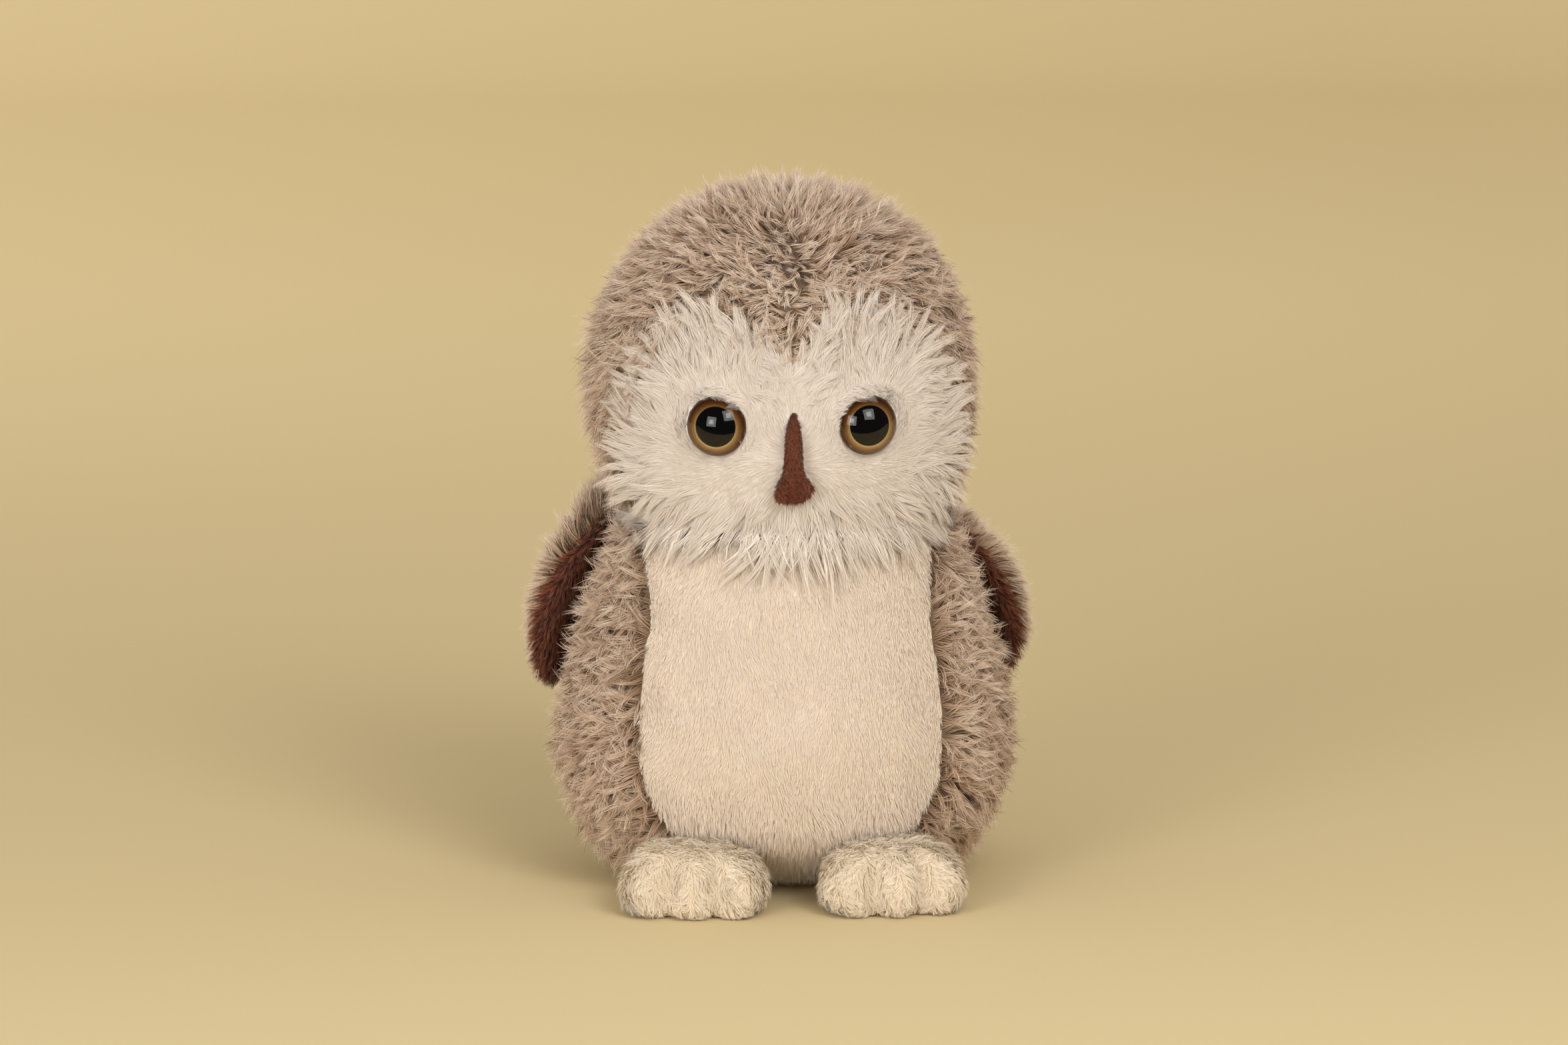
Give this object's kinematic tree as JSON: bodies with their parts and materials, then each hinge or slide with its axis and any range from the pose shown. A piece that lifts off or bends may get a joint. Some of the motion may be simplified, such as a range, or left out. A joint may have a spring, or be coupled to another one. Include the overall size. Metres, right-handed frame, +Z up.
{
  "type": "plush owl",
  "caption": "Sitting stuffed owl with a two-lobed white face, clear-domed eyes, folded beak, rounded body, hinged wings, toed feet and a weighted base",
  "frame": {"origin": "On the floor, under the neck's axis, in the middle of the base panel's flat underside", "axes": "+Z up along the neck's axis, +X to the owl's own left, and the face looks along -Y"},
  "size_m": [0.1648, 0.1359, 0.232],
  "materials": {
    "grey_brown_plush": "long, soft acrylic pile in small tufts, grey-brown with lighter tips",
    "white_plush": "long, straight acrylic pile, warm white",
    "cream_plush": "short, dense cream pile",
    "brown_velboa": "very short dark-brown pile with a soft sheen",
    "polyester_fibre": "loose white fibre filling",
    "cotton_bag": "plain woven cotton",
    "clear_acrylic": "clear, polished dome",
    "gold_paint": "painted disc, gold to brown round a black pupil",
    "black_plastic": "moulded black plastic",
    "white_plastic": "moulded white plastic"
  },
  "bodies": {
    "torso": {"base_panel": "cream_plush", "belly_panel": "cream_plush", "foot_filling_left": "polyester_fibre", "foot_filling_right": "polyester_fibre", "foot_sole_left": "cream_plush", "foot_sole_right": "cream_plush", "foot_upper_left": "cream_plush", "foot_upper_right": "cream_plush", "pellet_bag": "cotton_bag", "torso_filling": "polyester_fibre", "torso_panel_left": "grey_brown_plush", "torso_panel_right": "grey_brown_plush"},
    "head": {"beak": "brown_velboa", "eye_iris_left": "gold_paint", "eye_iris_right": "gold_paint", "eye_lens_left": "clear_acrylic", "eye_lens_right": "clear_acrylic", "eye_post_left": "black_plastic", "eye_post_right": "black_plastic", "eye_washer_left": "white_plastic", "eye_washer_right": "white_plastic", "face_panel": "white_plush", "head_filling": "polyester_fibre", "head_panel_left": "grey_brown_plush", "head_panel_right": "grey_brown_plush"},
    "wing_left": {"wing_lining_left": "brown_velboa", "wing_outer_left": "grey_brown_plush", "wing_wadding_left": "polyester_fibre"},
    "wing_right": {"wing_lining_right": "brown_velboa", "wing_outer_right": "grey_brown_plush", "wing_wadding_right": "polyester_fibre"}
  },
  "joints": [
    {"name": "head_turn", "type": "hinge", "parent": "torso", "child": "head", "pos_m": [0, 0, 0.126], "axis": [0, 0, 1], "range_deg": [-15, 15], "stiffness_Nm_per_rad": 0.05},
    {"name": "wing_left", "type": "hinge", "parent": "torso", "child": "wing_left", "pos_m": [0.0565, 0.01233, 0.11932], "axis": [0.365, -0.9034, -0.225], "range_deg": [0, 95], "stiffness_Nm_per_rad": 0.008},
    {"name": "wing_right", "type": "hinge", "parent": "torso", "child": "wing_right", "pos_m": [-0.05535, 0.01231, 0.12182], "axis": [0.3737, 0.9249, -0.0698], "range_deg": [0, 95], "stiffness_Nm_per_rad": 0.008}
  ]
}
